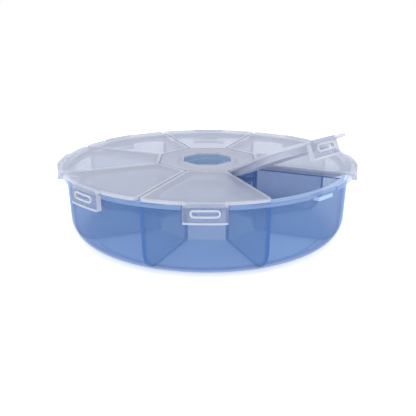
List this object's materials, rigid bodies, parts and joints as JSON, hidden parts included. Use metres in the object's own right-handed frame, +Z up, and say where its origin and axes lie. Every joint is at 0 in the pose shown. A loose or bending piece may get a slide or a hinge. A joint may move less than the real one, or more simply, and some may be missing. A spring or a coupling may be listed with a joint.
{
  "type": "travel pill organizer",
  "caption": "Round translucent pill case: a compartmented tray under a frosted lid of hinged flaps, each with its own snap latch.",
  "frame": {"origin": "centre of the base, on the surface that the case stands on", "axes": "+Z up through the centre well; -Y towards flap 1, the one at the front"},
  "size_m": [0.1044, 0.1044, 0.0396],
  "materials": {
    "tray_blue": "translucent blue polypropylene, smooth",
    "lid_frosted": "frosted clear polypropylene",
    "hinge_film": "frosted clear polypropylene, thin enough to bend"
  },
  "bodies": {
    "case": {"tray_hub": "tray_blue", "tray_well": "tray_blue", "tray_bay_1": "tray_blue", "tray_bay_2": "tray_blue", "tray_bay_3": "tray_blue", "tray_bay_4": "tray_blue", "tray_bay_5": "tray_blue", "tray_bay_6": "tray_blue", "tray_bay_7": "tray_blue", "tray_bay_8": "tray_blue", "divider_1": "tray_blue", "divider_2": "tray_blue", "divider_3": "tray_blue", "divider_4": "tray_blue", "divider_5": "tray_blue", "divider_6": "tray_blue", "divider_7": "tray_blue", "divider_8": "tray_blue", "lid_hub": "lid_frosted", "flap_hinge_1": "hinge_film", "flap_hinge_2": "hinge_film", "flap_hinge_3": "hinge_film", "flap_hinge_4": "hinge_film", "flap_hinge_5": "hinge_film", "flap_hinge_6": "hinge_film", "flap_hinge_7": "hinge_film", "flap_hinge_8": "hinge_film"},
    "flap_1": {"flap_1": "lid_frosted", "latch_hinge_1": "hinge_film"},
    "latch_1": {"latch_1": "lid_frosted"},
    "flap_2": {"flap_2": "lid_frosted", "latch_hinge_2": "hinge_film"},
    "latch_2": {"latch_2": "lid_frosted"},
    "flap_3": {"flap_3": "lid_frosted", "latch_hinge_3": "hinge_film"},
    "latch_3": {"latch_3": "lid_frosted"},
    "flap_4": {"flap_4": "lid_frosted", "latch_hinge_4": "hinge_film"},
    "latch_4": {"latch_4": "lid_frosted"},
    "flap_5": {"flap_5": "lid_frosted", "latch_hinge_5": "hinge_film"},
    "latch_5": {"latch_5": "lid_frosted"},
    "flap_6": {"flap_6": "lid_frosted", "latch_hinge_6": "hinge_film"},
    "latch_6": {"latch_6": "lid_frosted"},
    "flap_7": {"flap_7": "lid_frosted", "latch_hinge_7": "hinge_film"},
    "latch_7": {"latch_7": "lid_frosted"},
    "flap_8": {"flap_8": "lid_frosted", "latch_hinge_8": "hinge_film"},
    "latch_8": {"latch_8": "lid_frosted"}
  },
  "joints": [
    {"name": "flap_1_opens", "type": "hinge", "parent": "case", "child": "flap_1", "pos_m": [0, -0.01626, 0.02463], "axis": [-1, 0, 0], "range_deg": [0, 16], "deforming": ["flap_hinge_1"]},
    {"name": "flap_2_opens", "type": "hinge", "parent": "case", "child": "flap_2", "pos_m": [0.0115, -0.0115, 0.02463], "axis": [0.7071, 0.7071, 0], "range_deg": [-55, 25], "deforming": ["flap_hinge_2"]},
    {"name": "flap_3_opens", "type": "hinge", "parent": "case", "child": "flap_3", "pos_m": [0.01626, 0, 0.02463], "axis": [0, -1, 0], "range_deg": [0, 16], "deforming": ["flap_hinge_3"]},
    {"name": "flap_4_opens", "type": "hinge", "parent": "case", "child": "flap_4", "pos_m": [0.0115, 0.0115, 0.02463], "axis": [-0.7071, 0.7071, 0], "range_deg": [-80, 0], "deforming": ["flap_hinge_4"]},
    {"name": "flap_5_opens", "type": "hinge", "parent": "case", "child": "flap_5", "pos_m": [0, 0.01626, 0.02463], "axis": [1, 0, 0], "range_deg": [0, 80], "deforming": ["flap_hinge_5"]},
    {"name": "flap_6_opens", "type": "hinge", "parent": "case", "child": "flap_6", "pos_m": [-0.0115, 0.0115, 0.02463], "axis": [-0.7071, -0.7071, 0], "range_deg": [-80, 0], "deforming": ["flap_hinge_6"]},
    {"name": "flap_7_opens", "type": "hinge", "parent": "case", "child": "flap_7", "pos_m": [-0.01626, 0, 0.02463], "axis": [0, 1, 0], "range_deg": [0, 80], "deforming": ["flap_hinge_7"]},
    {"name": "flap_8_opens", "type": "hinge", "parent": "case", "child": "flap_8", "pos_m": [-0.0115, -0.0115, 0.02463], "axis": [0.7071, -0.7071, 0], "range_deg": [-80, 0], "deforming": ["flap_hinge_8"]},
    {"name": "latch_1_opens", "type": "hinge", "parent": "flap_1", "child": "latch_1", "pos_m": [0, -0.05165, 0.02463], "axis": [-1, 0, 0], "range_deg": [0, 120], "deforming": ["latch_hinge_1"]},
    {"name": "latch_2_opens", "type": "hinge", "parent": "flap_2", "child": "latch_2", "pos_m": [0.03418, -0.03418, 0.03958], "axis": [-0.7071, -0.7071, 0], "range_deg": [0, 120], "deforming": ["latch_hinge_2"]},
    {"name": "latch_3_opens", "type": "hinge", "parent": "flap_3", "child": "latch_3", "pos_m": [0.05165, 0, 0.02463], "axis": [0, -1, 0], "range_deg": [0, 120], "deforming": ["latch_hinge_3"]},
    {"name": "latch_4_opens", "type": "hinge", "parent": "flap_4", "child": "latch_4", "pos_m": [0.03652, 0.03652, 0.02463], "axis": [0.7071, -0.7071, 0], "range_deg": [0, 120], "deforming": ["latch_hinge_4"]},
    {"name": "latch_5_opens", "type": "hinge", "parent": "flap_5", "child": "latch_5", "pos_m": [0, 0.05165, 0.02463], "axis": [1, 0, 0], "range_deg": [0, 120], "deforming": ["latch_hinge_5"]},
    {"name": "latch_6_opens", "type": "hinge", "parent": "flap_6", "child": "latch_6", "pos_m": [-0.03652, 0.03652, 0.02463], "axis": [0.7071, 0.7071, 0], "range_deg": [0, 120], "deforming": ["latch_hinge_6"]},
    {"name": "latch_7_opens", "type": "hinge", "parent": "flap_7", "child": "latch_7", "pos_m": [-0.05165, 0, 0.02463], "axis": [0, 1, 0], "range_deg": [0, 120], "deforming": ["latch_hinge_7"]},
    {"name": "latch_8_opens", "type": "hinge", "parent": "flap_8", "child": "latch_8", "pos_m": [-0.03652, -0.03652, 0.02463], "axis": [-0.7071, 0.7071, 0], "range_deg": [0, 120], "deforming": ["latch_hinge_8"]}
  ]
}
